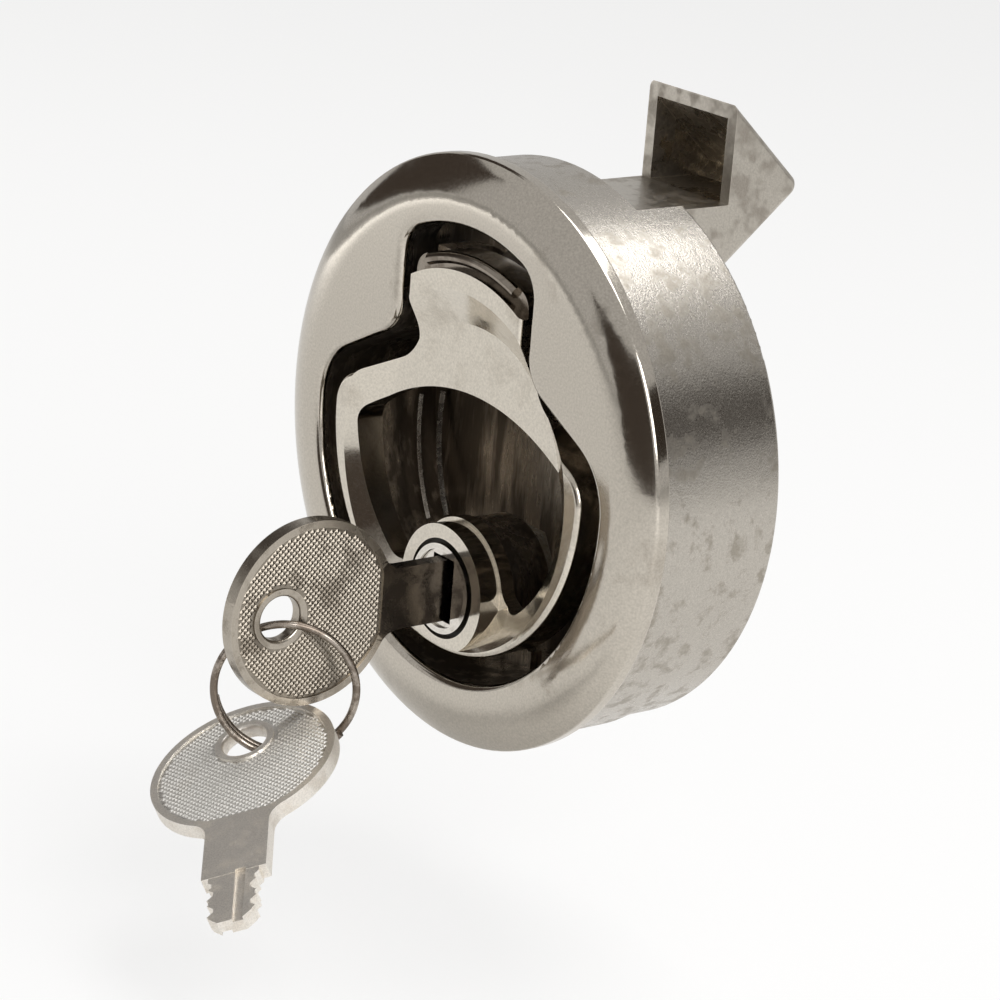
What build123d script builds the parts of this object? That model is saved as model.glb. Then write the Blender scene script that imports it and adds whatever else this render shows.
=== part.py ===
from build123d import *
import math
import os

# Round flush hatch latch: a cast cup with a polished flange, a pull handle with a key lock,
# and a sprung lever bolt behind it. Millimetres. X is to the right, Y goes into the panel,
# Z points up, towards the bolt. The origin is the centre of the flange's seat, at Y = 0.

# Running clearances
pin_fit = 0.05           # radial, pivot pin in a bore that turns on it
slide_fit = 0.15         # key in its keyway, wafers in their slots
side_gap = 0.15          # axial, along the pivot pin
swing_gap = 0.5          # round the sweep of the lever

# Flange and cup
flange_radius = 38.1
flange_height = 4.2      # front face ahead of the seat
flange_flat_radius = 31.6
rim_height = 1.9         # where the crown meets the rim
rim_round = 0.7
seat_round = 0.35
band_radius = 36.9       # body just behind the flange
rear_radius = 36.4       # body behind the casting seam
seam_depth = 10.5
body_edge_round = 0.6
skirt_wall = 2.5         # body round the lever chamber
web_thickness = 1.0      # flange stock ahead of the lever chamber, behind the seat
cup_wall = 2.0
floor_room = 4.1         # cup floor behind the square tail of the lock
floor_thickness = 3.7

# Pear outline that the handle and its aperture share
handle_radius = 25.8
gap_round = 3.5          # handle to aperture, round the lobe and at the top
tongue_half_width = 11.6
gap_neck = 1.8           # handle to aperture, beside the tongue
tent_height = 16.4       # where the two shoulder lines of the handle would meet
shoulder_angle = 27.0
shoulder_hollow = 7.0    # concave radius where tongue and shoulder meet
shoulder_corner = 5.0    # convex radius where shoulder and lobe meet
tongue_corner = 2.6
aperture_round = 1.1     # polished edge of the aperture

# Handle
handle_face = 4.1        # front face ahead of the seat
handle_thickness = 5.0
handle_edge_round = 0.7
hole_radius = 22.2       # lower edge of the finger hole
hole_top = 8.0
hole_top_radius = 35.5
hole_corner = 3.4
hole_toe = 3.6
hole_bevel = 0.45
scoop_radius = 23.2      # front edge of the scoop between the finger hole and the rim
scoop_drop = 2.0         # middle of the scoop below the flange's axis
scoop_slope = 1.58       # fall of its radius to the millimetre of depth
scoop_depth = 3.0
lip_width = 1.6          # rounded bar along the top of the tongue
lip_drop = 1.3           # floor of the groove between the face and the bar
lip_gap = 0.5            # width of that groove
lip_angle = 21.0         # half the bar's length, as an angle round the flange's axis
boss_radius = 8.4
boss_rear = 7.0          # boss behind the seat
ear_width = 2.7
ear_radius = 4.4
ear_foot = 2.8           # web of the ear below the pivot

# Hinge line that the handle and the bolt share
pivot_y = 5.5
pivot_z = 20.0
pin_radius = 2.0
pin_grip = 2.2           # pin length inside the far cheek
pin_tip = 1.2            # pin past its clip
cheek_width = 2.6        # housing between the lever chamber and the clip's pocket
clip_thickness = 0.6
clip_radius = 3.6
clip_mouth = 2.2         # open side of the clip
clip_groove = 0.5        # depth of the pin's groove that the clip sits in
clip_gap = 0.1           # clip to cheek
clip_room = 0.6          # pocket round the clip and past the pin's tip
washer_radius = 3.9
lift_angle = 20.0
slam_angle = 16.0

# Lever bolt
hub_radius = 4.2
hub_half_width = 4.2
hub_bush_wall = 0.8
bolt_half_width = 8.7
bolt_wall = 1.7
ramp_wall = 1.4
shelf_z = 31.7           # flat top of the lever
mouth_y = 30.6           # open front of the hollow head
tip_z = 44.5
heel_y = 42.9
heel_z = 33.4
heel_round = 1.5
web_start_y = 12.2       # the lever is full width behind this
web_foot_z = 17.3
belly_y = 27.0
belly_z = 20.2
shelf_start_y = 15.5
head_edge_round = 0.8

# Springs on the pivot pin
wire_radius = 0.42
coil_radius = 3.2
coil_pitch = 1.02
bolt_spring_turns = 2.75
lever_leg = 8.2
handle_spring_turns = 3.05
tongue_leg_angle = 205.0
tongue_leg = 2.7
stop_leg = 3.0

# Lock
lock_z = -17.7
lock_face = 4.35
shell_radius = 5.9
counterbore_radius = 6.55
counterbore_depth = 2.4
plug_radius = 5.1
mouth_width = 4.4        # recess in the plug's face, ahead of the keyway
mouth_depth = 1.8
plug_recess = 0.45
lock_room = 2.65         # end of the lock's barrel behind the tip of the key
nut_thickness = 2.0
nut_across_flats = 14.0
cam_gap = 0.3
cam_thickness = 1.4
cam_length = 8.0         # lock axis to the tip of the cam
cam_width = 5.6
cam_screw_head = 2.4
cam_screw_radius = 1.25
cam_screw_height = 1.3
tail_side = 5.0          # square tail that turns the cam
wafer_width = 5.0
wafer_thickness = 0.9
lip_reach = 0.9          # keeper lip above the cup wall
lip_half_width = 5.0
lip_thickness = 1.8
lip_ahead = 0.3          # keeper lip ahead of the cam

# Keys
key_thickness = 2.0
bow_radius = 12.1
ring_hole_radius = 2.9
hole_to_bow = 4.8        # ring hole to the middle of the bow
shank_width = 8.2
shank_start = 15.0       # from the ring hole
shank_end = 27.0
blade_width = 6.4
blade_length = 36.0      # from the ring hole
blade_thickness = 1.9
bow_rim = 0.95
field_length = 22.6      # knurled field, from the bow's far edge
bow_recess = 0.22
bow_neck_round = 3.0
cut_pitch = 1.6
cut_depths = (0.5, 1.0, 0.3, 0.8, 0.5)
groove_width = 1.3
groove_offset = 0.9
groove_depth = 0.45

# Split ring and spare key, as they hang
ring_radius = 8.85
ring_wire = 0.5
ring_pitch = 1.08
ring_start = 40.0        # wire end, clockwise from the right of the ring
ring_overlap = 132.0
ring_hang_angle = 264.0  # where on the ring the key in the lock hangs
spare_hang_angle = 124.0
spare_shift = 0.8        # the spare's hole past the ring's wire, along its blade
strand_drop = 1.0        # the ring's wire below the middle of the key's hole
view_right = Vector(0.6032, 0.7938, 0.0781)
ring_down = Vector(-0.0128, 0.1059, -0.9943)
spare_along = Vector(0.7938, -0.5609, -0.2354)
spare_across = Vector(0.6066, 0.7015, 0.3740)

# Rear holes for the clamp of a panel
clamp_x = 22.0
clamp_z = 17.5
clamp_hole_radius = 1.65
clamp_hole_depth = 9.0

# Notch in the rear of the body that the lever comes out of
notch_z = 28.0
notch_room = 5.0         # beside the bolt

# Rubber stops behind the tongue
stop_radius = 1.5
stop_boss_wall = 0.5
stop_boss_length = 5.0
stop_x = 7.0
rest_gap = 0.3

aperture_radius = handle_radius + gap_round
neck_half_width = tongue_half_width + gap_neck
skirt_inner = rear_radius - skirt_wall
pin_end = neck_half_width + pin_grip
clip_x = -(neck_half_width + cheek_width + clip_gap + clip_thickness)
pin_start = clip_x - pin_tip
handle_back = handle_thickness - handle_face
shoulder_slope = math.tan(math.radians(shoulder_angle))
mouth_floor = plug_recess - lock_face + mouth_depth
key_hole_y = mouth_floor - slide_fit - shank_end
belly_angle = math.degrees(math.atan2(belly_z - pivot_z + hub_radius, belly_y - pivot_y))
roof_drop = math.radians(lift_angle + slam_angle - belly_angle - 1.5)
roof_front = handle_back + 1.7
roof_slope = math.tan(roof_drop)
roof_z = pivot_z - (hub_radius + swing_gap) / math.cos(roof_drop) + (pivot_y - roof_front) * roof_slope
shell_rear = mouth_floor - slide_fit + blade_length - shank_end + lock_room
cam_front = shell_rear + cam_gap
tail_end = cam_front + cam_thickness
cup_floor_depth = tail_end + floor_room
body_depth = cup_floor_depth + floor_thickness
stop_face = handle_back + rest_gap
stop_z = roof_z - (stop_radius + stop_boss_wall) / math.cos(roof_drop)
big = 100.0


def slab(outline, front, back):
    """Solid of an outline drawn in X and Z, from the depth Y = front to Y = back."""
    return extrude(Plane.XZ.offset(-back) * outline, amount=back - front)


def side_prism(points, half_width, middle=0.0):
    """Solid of a side profile given in Y and Z, as wide as twice half_width along X."""
    outline = make_face(Polyline(*points, close=True))
    return extrude(Plane.YZ.offset(middle - half_width) * outline, amount=2 * half_width)


def x_cylinder(radius, x_from, x_to, y=pivot_y, z=pivot_z):
    """Round bar along X between two stations."""
    return extrude(Plane(origin=(x_from, y, z), z_dir=(1, 0, 0)) * Circle(radius), amount=x_to - x_from)


def y_cylinder(radius, front, back, x=0.0, z=0.0):
    """Round bar along Y between two depths."""
    return slab(Pos(x, z) * Circle(radius), front, back)


def corners(outline, low, high, axis=Axis.Y):
    """Corner points of an outline between two heights."""
    return outline.vertices().filter_by_position(axis, low, high)


def pear(radius, half_width, apex, hollow, corner, top_corner):
    """Round lobe with sloping shoulders that narrow to a tongue with a round top."""
    run = 2 * radius
    tent = make_face(Polyline((0, apex), (run, apex - run * shoulder_slope), (run, -run),
                              (-run, -run), (-run, apex - run * shoulder_slope), close=True))
    strip = Pos(0, radius / 2) * Rectangle(2 * half_width, 2 * radius)
    outline = Circle(radius) & (tent + strip)
    neck_z = apex - half_width * shoulder_slope
    outline = fillet(corners(outline, neck_z - 0.5, neck_z + 0.5), hollow)
    outline = fillet(corners(outline, radius * 0.75, radius), top_corner)
    shoulders = [v for v in outline.vertices() if abs(v.X) > 0.8 * radius and v.Y > 0]
    return fillet(shoulders, corner)


def handle_outline(inset=0.0):
    """Outline of the handle, or the same outline drawn in by an inset."""
    apex = tent_height - inset / math.cos(math.radians(shoulder_angle))
    return pear(handle_radius - inset, tongue_half_width - inset, apex,
                shoulder_hollow + inset, shoulder_corner - inset, tongue_corner - inset)


def aperture_outline(grow=0.0):
    """Outline of the opening in the flange, which is the handle's with a gap round it."""
    gap = gap_round + grow
    apex = tent_height + gap / math.cos(math.radians(shoulder_angle))
    return pear(handle_radius + gap, neck_half_width + grow, apex,
                shoulder_hollow - 1.2, shoulder_corner + gap, tongue_corner + 1.8)


def finger_hole(inset=0.0):
    """Half-round finger hole with the lock boss standing up into it from below."""
    top = Pos(0, hole_top - hole_top_radius) * Circle(hole_top_radius - inset)
    outline = (Circle(hole_radius - inset) & top) - Pos(0, lock_z) * Circle(boss_radius + inset)
    upper = [v for v in outline.vertices() if v.Y > -4]
    outline = fillet(upper, hole_corner - inset)
    lower = [v for v in outline.vertices() if v.Y < -16]
    return fillet(lower, hole_toe - inset)


def roof_line(offset, y):
    """Height of the cup's roof at a depth, moved down by an offset."""
    return roof_z - offset / math.cos(roof_drop) - (y - roof_front) * roof_slope


def make_housing():
    """Cast cup: flange, body, keyhole aperture, cup, roof, lever chamber and rear holes."""
    flat = (flange_flat_radius, -flange_height)
    rim = (flange_radius, -rim_height)
    outline = make_face([
        Line((0, -flange_height), flat), TangentArc(flat, rim, tangent=(1, 0)),
        Polyline(rim, (flange_radius, 0), (band_radius, 0), (band_radius, seam_depth),
                 (rear_radius, seam_depth + 0.25), (rear_radius, body_depth),
                 (0, body_depth), (0, -flange_height))])
    rim_vertex = [v for v in outline.vertices() if abs(v.X - flange_radius) < 0.01 and v.Y < -0.5]
    outline = fillet(rim_vertex, rim_round)
    seat_vertex = [v for v in outline.vertices() if abs(v.X - flange_radius) < 0.01 and v.Y > -0.5]
    outline = fillet(seat_vertex, seat_round)
    rear_vertex = [v for v in outline.vertices() if abs(v.X - rear_radius) < 0.01 and v.Y > body_depth - 0.5]
    outline = fillet(rear_vertex, body_edge_round)
    body = revolve(outline, axis=Axis.Y)

    body -= slab(aperture_outline(), -big, web_thickness)
    mouth = body.edges().filter_by_position(Axis.Y, -flange_height - 0.01, -flange_height + 0.01)
    mouth = [e for e in mouth if not on_circle(e)]
    body = fillet(mouth, aperture_round)

    under_roof = side_prism([(-big, roof_line(cup_wall, -big)), (big, roof_line(cup_wall, big)),
                             (big, -big), (-big, -big)], big)
    over_roof = side_prism([(-big, roof_line(0, -big)), (big, roof_line(0, big)),
                            (big, big), (-big, big)], big)
    cup = slab(aperture_outline(), 0, cup_floor_depth) & under_roof
    chamber = slab(Circle(skirt_inner) & (Pos(0, big / 2) * Rectangle(2 * neck_half_width, big)),
                   web_thickness, big) & over_roof
    front_gap = slab(aperture_outline(), 0, roof_front)
    body -= cup
    body -= chamber
    body -= front_gap
    body -= slab(Pos(0, notch_z + big / 2) * Rectangle(2 * (bolt_half_width + notch_room), big),
                 seam_depth, big)

    for side in (-1, 1):
        body -= y_cylinder(clamp_hole_radius, body_depth - clamp_hole_depth, big, side * clamp_x, clamp_z)
    body -= x_cylinder(pin_radius, -big, pin_end)
    pocket_start, pocket_end = pin_start - clip_room, -(neck_half_width + cheek_width)
    body -= slab(Pos((pocket_start + pocket_end) / 2, pivot_z)
                 * Rectangle(pocket_end - pocket_start, 2 * (clip_radius + clip_room)),
                 pivot_y - clip_radius - clip_room, big)
    lip = (Circle(aperture_radius + 0.5) - Circle(aperture_radius - 4.0)) & (
        Pos(0, lock_z - cam_length - lip_reach - 10) * Rectangle(2 * lip_half_width, 20))
    body += slab(lip, cam_front - lip_ahead - lip_thickness, cam_front - lip_ahead)
    for side in (-1, 1):
        body += y_cylinder(stop_radius + stop_boss_wall, roof_front, roof_front + stop_boss_length,
                           side * stop_x, stop_z) - over_roof
    return body


def on_circle(edge):
    """True for the smooth circle where the flat face of the flange turns into its crown."""
    point = edge.position_at(0.25)
    return abs(math.hypot(point.X, point.Z) - flange_flat_radius) < 0.05


def starts_on(edge, points):
    """True when an edge on a front face begins at one of an outline's corner points."""
    start = edge.position_at(0)
    return any(math.hypot(start.X - p.X, start.Z - p.Y) < 0.01 for p in points)


def scoop():
    """Cone that hollows the handle's face between the finger hole and the rim."""
    lead = 1.0
    return Plane(origin=(0, -handle_face - lead, -scoop_drop), z_dir=(0, 1, 0)) * Cone(
        scoop_radius + lead * scoop_slope, scoop_radius - scoop_depth * scoop_slope, scoop_depth + lead,
        align=(Align.CENTER, Align.CENTER, Align.MIN))


def make_handle():
    """Pull handle: tongue with a rolled lip, finger hole, lock boss and two hinge ears."""
    plate = slab(handle_outline(), -handle_face, handle_back)
    bar_inner = handle_radius - lip_width
    groove_floor = lip_drop - handle_face
    step = Circle(handle_radius + 1) - Circle(bar_inner - lip_gap)
    step &= Pos(0, handle_radius) * Rectangle(2 * tongue_half_width + 2, 0.4 * handle_radius)
    plate -= slab(step, -big, groove_floor)
    face = plate.edges().filter_by_position(Axis.Y, -handle_face - 0.01, -handle_face + 0.01)
    rim = [e for e in face if abs(math.hypot(e.center().X, e.center().Z) - bar_inner + lip_gap) > 0.05]
    plate = fillet(rim, handle_edge_round)
    section = Plane.YZ * Pos(groove_floor, handle_radius - lip_width / 2) * Circle(lip_width / 2)
    plate += Rot(0, -lip_angle, 0) * revolve(section, axis=Axis.Y, revolution_arc=2 * lip_angle)
    plate += y_cylinder(boss_radius, -1, boss_rear, z=lock_z)
    plate -= slab(finger_hole(hole_bevel), -big, big)
    bevelled = finger_hole(hole_bevel).vertices()
    front = plate.edges().filter_by_position(Axis.Y, -handle_face - 0.01, -handle_face + 0.01)
    plate = chamfer([e for e in front if starts_on(e, bevelled)], hole_bevel)
    plate -= scoop() - y_cylinder(boss_radius, -big, big, z=lock_z)
    for side in (-1, 1):
        x_from = side * (tongue_half_width - 0.4) - (ear_width if side > 0 else 0)
        ear = x_cylinder(ear_radius, x_from, x_from + ear_width)
        foot, top = pivot_z - ear_foot, pivot_z + ear_radius
        ear += side_prism([(0, foot), (0, top), (pivot_y, top), (pivot_y, foot)],
                          ear_width / 2, x_from + ear_width / 2)
        plate += ear
    plate -= x_cylinder(pin_radius + pin_fit, -big, big)
    plate -= y_cylinder(shell_radius, -big, big, z=lock_z)
    plate -= y_cylinder(counterbore_radius, -big, counterbore_depth - handle_face, z=lock_z)
    return plate


def make_bolt():
    """Lever bolt: hub, gusset and a hollow wedge head that is open to the front."""
    inner_lift = ramp_wall * math.hypot(1, (tip_z - heel_z) / (heel_y - mouth_y))
    web_top = (web_start_y, shelf_z - 3.4)
    head_points = [web_top, (shelf_start_y, shelf_z), (mouth_y, shelf_z), (mouth_y, tip_z),
                   (heel_y, heel_z), (belly_y, belly_z), (web_start_y, web_foot_z)]
    bolt = side_prism(head_points, bolt_half_width)
    heel = bolt.edges().filter_by(Axis.X).filter_by_position(Axis.Y, heel_y - 0.1, heel_y + 0.1)
    bolt = fillet(heel, heel_round)
    ridges = [e for e in bolt.edges() if e.center().Y > mouth_y + 1 and e.center().Z > belly_z + 4
              and abs(abs(e.center().X) - bolt_half_width) < 0.1]
    bolt = fillet(ridges, head_edge_round)
    ramp_slope = (tip_z - heel_z) / (heel_y - mouth_y)
    belly_slope = (heel_z - belly_z) / (heel_y - belly_y)
    rear_lift = ramp_wall * math.hypot(1, belly_slope)
    shelf_end_y = heel_y - (heel_z + rear_lift - shelf_z) / belly_slope
    crease_y = (tip_z - inner_lift - heel_z - rear_lift + mouth_y * ramp_slope + heel_y * belly_slope) / (
        ramp_slope + belly_slope)
    crease_z = tip_z - inner_lift - (crease_y - mouth_y) * ramp_slope
    hollow = [(mouth_y - 2, shelf_z), (shelf_end_y, shelf_z), (crease_y, crease_z),
              (mouth_y, tip_z - inner_lift), (mouth_y - 2, tip_z - inner_lift + 2 * ramp_slope)]
    bolt -= side_prism(hollow, bolt_half_width - bolt_wall)
    web = side_prism([(pivot_y - 2.2, pivot_z + 3.5), web_top, (web_start_y + 4, shelf_z - 2),
                      (web_start_y + 4, 19), (web_start_y, web_foot_z),
                      (pivot_y + 0.8, pivot_z - hub_radius + 0.1)], hub_half_width)
    bolt += web
    bolt += x_cylinder(hub_radius, -hub_half_width, hub_half_width)
    bolt -= x_cylinder(pin_radius + hub_bush_wall, -big, big)
    return bolt


def make_torsion_spring(x_from, first_angle, turns, first_leg, last_leg):
    """Coil round the pivot pin, with a straight leg that leaves each end along its tangent."""
    turn = math.radians(first_angle)
    path = Plane(origin=(x_from, pivot_y, pivot_z), x_dir=(0, math.cos(turn), math.sin(turn)),
                 z_dir=(1, 0, 0)) * Helix(pitch=coil_pitch, height=coil_pitch * turns, radius=coil_radius)
    spring = sweep(Plane(origin=path @ 0, z_dir=path % 0) * Circle(wire_radius), path=path, is_frenet=True)
    spring += extrude(Plane(origin=path @ 0, z_dir=-(path % 0)) * Circle(wire_radius), amount=first_leg)
    spring += extrude(Plane(origin=path @ 1, z_dir=path % 1) * Circle(wire_radius), amount=last_leg)
    return spring


def make_key():
    """Flat key in its own plane: X along the blade, Y across it, ring hole at the origin."""
    bow = Pos(hole_to_bow, 0) * Circle(bow_radius)
    shank = Pos((shank_start + shank_end) / 2 - 1, 0) * Rectangle(shank_end - shank_start + 2, shank_width)
    outline = bow + shank
    neck = [v for v in outline.vertices() if abs(abs(v.Y) - shank_width / 2) < 0.05 and v.X < shank_end - 1]
    outline = fillet(neck, bow_neck_round)
    outline -= Circle(ring_hole_radius)
    key = extrude(outline, amount=key_thickness / 2, both=True)
    circles = key.edges().filter_by(GeomType.CIRCLE)
    rims = [e for e in circles if abs(e.radius - ring_hole_radius) < 0.01]
    key = fillet(rims, 0.4)
    field = (Pos(hole_to_bow, 0) * Circle(bow_radius - bow_rim)) - Circle(ring_hole_radius + 1.0)
    field &= Pos(hole_to_bow - bow_radius + field_length / 2, 0) * Rectangle(field_length, 3 * bow_radius)
    for side in (-1, 1):
        key -= Pos(0, 0, side * key_thickness / 2) * extrude(field, amount=bow_recess, both=True)
    reach = blade_length - shank_end
    blade = Pos(shank_end + reach / 2 - 0.5, 0) * Rectangle(reach + 1, blade_width)
    tip = [v for v in blade.vertices() if v.X > blade_length - 0.1]
    blade = chamfer(tip, 1.6)
    for i, depth in enumerate(cut_depths):
        x = shank_end + 1.6 + i * cut_pitch
        for side, cut in ((1, depth), (-1, cut_depths[-1 - i])):
            edge = blade_width / 2
            notch = make_face(Polyline((x - 0.3 - cut, edge + 0.01), (x - 0.3, edge - cut),
                                       (x + 0.3, edge - cut), (x + 0.3 + cut, edge + 0.01), close=True))
            blade -= notch if side > 0 else mirror(notch, about=Plane.XZ)
    key += extrude(blade, amount=blade_thickness / 2, both=True)
    for side in (-1, 1):
        key -= Pos(shank_end + reach / 2 + 1, side * groove_offset, side * blade_thickness / 2) * Box(
            reach + 3, groove_width, 2 * groove_depth)
    return key


def make_plug():
    """Lock plug with its keyway, five wafer slots and a square tail for the cam."""
    plug = y_cylinder(plug_radius, plug_recess - lock_face, shell_rear, z=lock_z)
    plug += Pos(0, (shell_rear - 1 + tail_end) / 2, lock_z) * Box(
        tail_side, tail_end - shell_rear + 1, tail_side)
    plug -= y_cylinder(cam_screw_radius, shell_rear - 2, big, z=lock_z)
    keyway_depth = blade_length - shank_end + 1.0
    plug -= Pos(0, mouth_floor + keyway_depth / 2, lock_z) * Box(
        key_thickness + 2 * slide_fit, keyway_depth, blade_width + 2 * slide_fit)
    plug -= Pos(0, mouth_floor - mouth_depth / 2, lock_z) * Box(
        mouth_width, mouth_depth, shank_width + 2 * slide_fit)
    for i in range(len(cut_depths)):
        plug -= Pos(0, wafer_station(i), lock_z) * Box(
            wafer_width + 2 * pin_fit, wafer_thickness + 2 * pin_fit, 2 * big)
    return plug


def wafer_station(i):
    """Depth of one wafer, in line with its cut in the key."""
    return key_hole_y + shank_end + 1.6 + i * cut_pitch


def make_wafers():
    """Five flat wafers with a window that the key's blade passes through."""
    wafers = []
    for i in range(len(cut_depths)):
        window = Rectangle(key_thickness + 2 * slide_fit + 0.2, blade_width + 2 * slide_fit)
        plate = (Rectangle(wafer_width, 2 * plug_radius) & Circle(plug_radius - pin_fit)) - window
        middle = wafer_station(i)
        wafers.append(slab(Pos(0, lock_z) * plate, middle - wafer_thickness / 2,
                           middle + wafer_thickness / 2))
    return Compound(children=wafers)


def place_key(key, hole, along, across):
    """The key moved so that its ring hole, blade and width lie as given."""
    return Plane(origin=hole, x_dir=along, z_dir=along.cross(across)) * key


def ring_point(angle):
    """Point on the middle line of the split ring, angle in degrees from its right side."""
    turn = math.radians(angle)
    return ring_centre + (view_right * math.cos(turn) + ring_down * math.sin(turn)) * ring_radius


def ring_tangent(angle):
    """Direction of the ring's wire at an angle."""
    turn = math.radians(angle)
    return ring_down * math.cos(turn) - view_right * math.sin(turn)


view_right = view_right.normalized()
ring_down = (ring_down - view_right * ring_down.dot(view_right)).normalized()
ring_axis = view_right.cross(ring_down)
spare_along = spare_along.normalized()
spare_across = (spare_across - spare_along * spare_across.dot(spare_along)).normalized()
key_hole = Vector(0, key_hole_y, lock_z)
hang_point = key_hole - Vector(0, 0, strand_drop)
hang_turn = math.radians(ring_hang_angle)
ring_centre = hang_point - (view_right * math.cos(hang_turn) + ring_down * math.sin(hang_turn)) * ring_radius


def make_ring():
    """Split ring: one wire wound a turn and a third, so its ends lie side by side below."""
    turns = (360 + ring_overlap) / 360
    start = Plane(origin=ring_centre - ring_axis * (ring_pitch * turns / 2),
                  x_dir=view_right * math.cos(math.radians(ring_start)) + ring_down * math.sin(
                      math.radians(ring_start)), z_dir=ring_axis)
    path = start * Helix(pitch=ring_pitch, height=ring_pitch * turns, radius=ring_radius)
    return sweep(Plane(origin=path @ 0, z_dir=path % 0) * Circle(ring_wire), path=path, is_frenet=True)


def make_pin():
    """Pivot pin with the groove of its clip."""
    groove = x_cylinder(2 * pin_radius, clip_x, clip_x + clip_thickness) - x_cylinder(
        pin_radius - clip_groove, clip_x, clip_x + clip_thickness)
    return x_cylinder(pin_radius, pin_start, pin_end - rest_gap) - groove


def make_clip():
    """Open clip in the pin's groove, pushed on from the rear through its pocket."""
    clip = x_cylinder(clip_radius, clip_x, clip_x + clip_thickness) - x_cylinder(
        pin_radius - clip_groove, clip_x, clip_x + clip_thickness)
    return clip - Pos(clip_x, pivot_y - clip_radius, pivot_z) * Box(
        4 * clip_thickness, 2 * clip_radius, clip_mouth)


def make_cam():
    """Flat lock cam with a square hole and a rounded nose."""
    plate = Pos(0, lock_z) * Circle(cam_width / 2 + 1.2)
    reach = cam_length - cam_width / 2
    plate += Pos(0, lock_z - reach / 2) * Rectangle(cam_width, reach)
    plate += Pos(0, lock_z - reach) * Circle(cam_width / 2)
    plate -= Pos(0, lock_z) * Rectangle(tail_side, tail_side)
    return slab(plate, cam_front, cam_front + cam_thickness)


nodes = {}
nodes["housing"] = make_housing()
nodes["pull_handle"] = make_handle()
nodes["latch_bolt"] = make_bolt()
nodes["pivot_pin"] = make_pin()
nodes["pin_clip"] = make_clip()
ear_outer = tongue_half_width - 0.4
washer_width = neck_half_width - ear_outer - 2 * side_gap
washers = []
for side in (-1, 1):
    x_from = side * (ear_outer + side_gap + washer_width / 2) - washer_width / 2
    washers.append(x_cylinder(washer_radius, x_from, x_from + washer_width)
                   - x_cylinder(pin_radius + pin_fit, x_from, x_from + washer_width))
nodes["hinge_washers"] = Compound(children=washers)
nodes["bolt_bush"] = (x_cylinder(pin_radius + hub_bush_wall, -hub_half_width, hub_half_width)
                      - x_cylinder(pin_radius + pin_fit, -hub_half_width, hub_half_width))
spring_gap = 0.6
roof_leg = pivot_z - roof_line(0, pivot_y + coil_radius) - rest_gap
nodes["bolt_spring"] = make_torsion_spring(
    -hub_half_width - spring_gap - coil_pitch * bolt_spring_turns, 0, bolt_spring_turns, roof_leg, lever_leg)
nodes["handle_spring"] = make_torsion_spring(
    hub_half_width + spring_gap, tongue_leg_angle, handle_spring_turns, tongue_leg, stop_leg)
shell = y_cylinder(shell_radius, -lock_face, shell_rear, z=lock_z) - y_cylinder(
    plug_radius + pin_fit, -big, big, z=lock_z)
nodes["lock_shell"] = shell
nodes["lock_seal"] = y_cylinder(counterbore_radius, -handle_face + counterbore_depth - 1.0,
                                -handle_face + counterbore_depth, z=lock_z) - y_cylinder(
    shell_radius, -big, big, z=lock_z)
nodes["lock_nut"] = slab(Pos(0, lock_z) * (RegularPolygon(nut_across_flats / 2, 6, major_radius=False)
                                            - Circle(shell_radius)), boss_rear, boss_rear + nut_thickness)
nodes["lock_plug"] = make_plug()
nodes["wafers"] = make_wafers()
nodes["lock_cam"] = make_cam()
screw = y_cylinder(cam_screw_head, tail_end, tail_end + cam_screw_height, z=lock_z)
screw += y_cylinder(cam_screw_radius, shell_rear - 2, tail_end, z=lock_z)
nodes["cam_screw"] = screw
key = make_key()
nodes["key_in_lock"] = place_key(key, key_hole, Vector(0, 1, 0), Vector(0, 0, 1))
nodes["split_ring"] = make_ring()
spare_hole = ring_point(spare_hang_angle) + spare_along * spare_shift
nodes["spare_key"] = place_key(key, spare_hole, spare_along, spare_across)
stops = []
for side in (-1, 1):
    stops.append(y_cylinder(stop_radius, stop_face, roof_front, side * stop_x, stop_z))
nodes["rubber_stops"] = Compound(children=stops)

os.makedirs("parts", exist_ok=True)
for name, solid in nodes.items():
    export_step(solid, f"parts/{name}.step")
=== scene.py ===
"""Round flush hatch latch in stainless steel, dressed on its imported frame.

Lengths are written in millimetres and turned into metres by MM. X is to the right of the
latch, Y goes into the panel and Z points up, towards the bolt.
"""

import logging
import math
from dataclasses import dataclass, field
from enum import Enum

import bmesh
import bpy
import numpy as np
from mathutils import Matrix, Vector


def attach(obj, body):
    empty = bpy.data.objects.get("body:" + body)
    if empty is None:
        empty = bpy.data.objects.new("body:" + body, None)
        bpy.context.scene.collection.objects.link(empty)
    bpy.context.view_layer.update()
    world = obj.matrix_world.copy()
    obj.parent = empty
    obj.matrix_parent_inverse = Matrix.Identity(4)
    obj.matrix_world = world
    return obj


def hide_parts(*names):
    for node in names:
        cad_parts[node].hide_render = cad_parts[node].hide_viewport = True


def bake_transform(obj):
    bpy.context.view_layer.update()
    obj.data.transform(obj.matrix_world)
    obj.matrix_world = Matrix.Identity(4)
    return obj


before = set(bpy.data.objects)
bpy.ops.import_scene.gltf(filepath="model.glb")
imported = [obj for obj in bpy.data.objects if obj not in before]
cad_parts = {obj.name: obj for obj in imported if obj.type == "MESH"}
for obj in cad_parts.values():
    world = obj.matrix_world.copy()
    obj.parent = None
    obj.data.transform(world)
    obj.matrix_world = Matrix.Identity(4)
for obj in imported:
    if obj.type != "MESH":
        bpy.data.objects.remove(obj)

MM = 0.001
MERGE_GAP = 2e-6
EDGE_WIDTH = 0.35
EDGE_GAIN = 1.25
BUMP_STRENGTH = 0.6
log = logging.getLogger("hatch_latch")

Colour = tuple[float, float, float]
Point = tuple[float, float, float]


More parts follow.
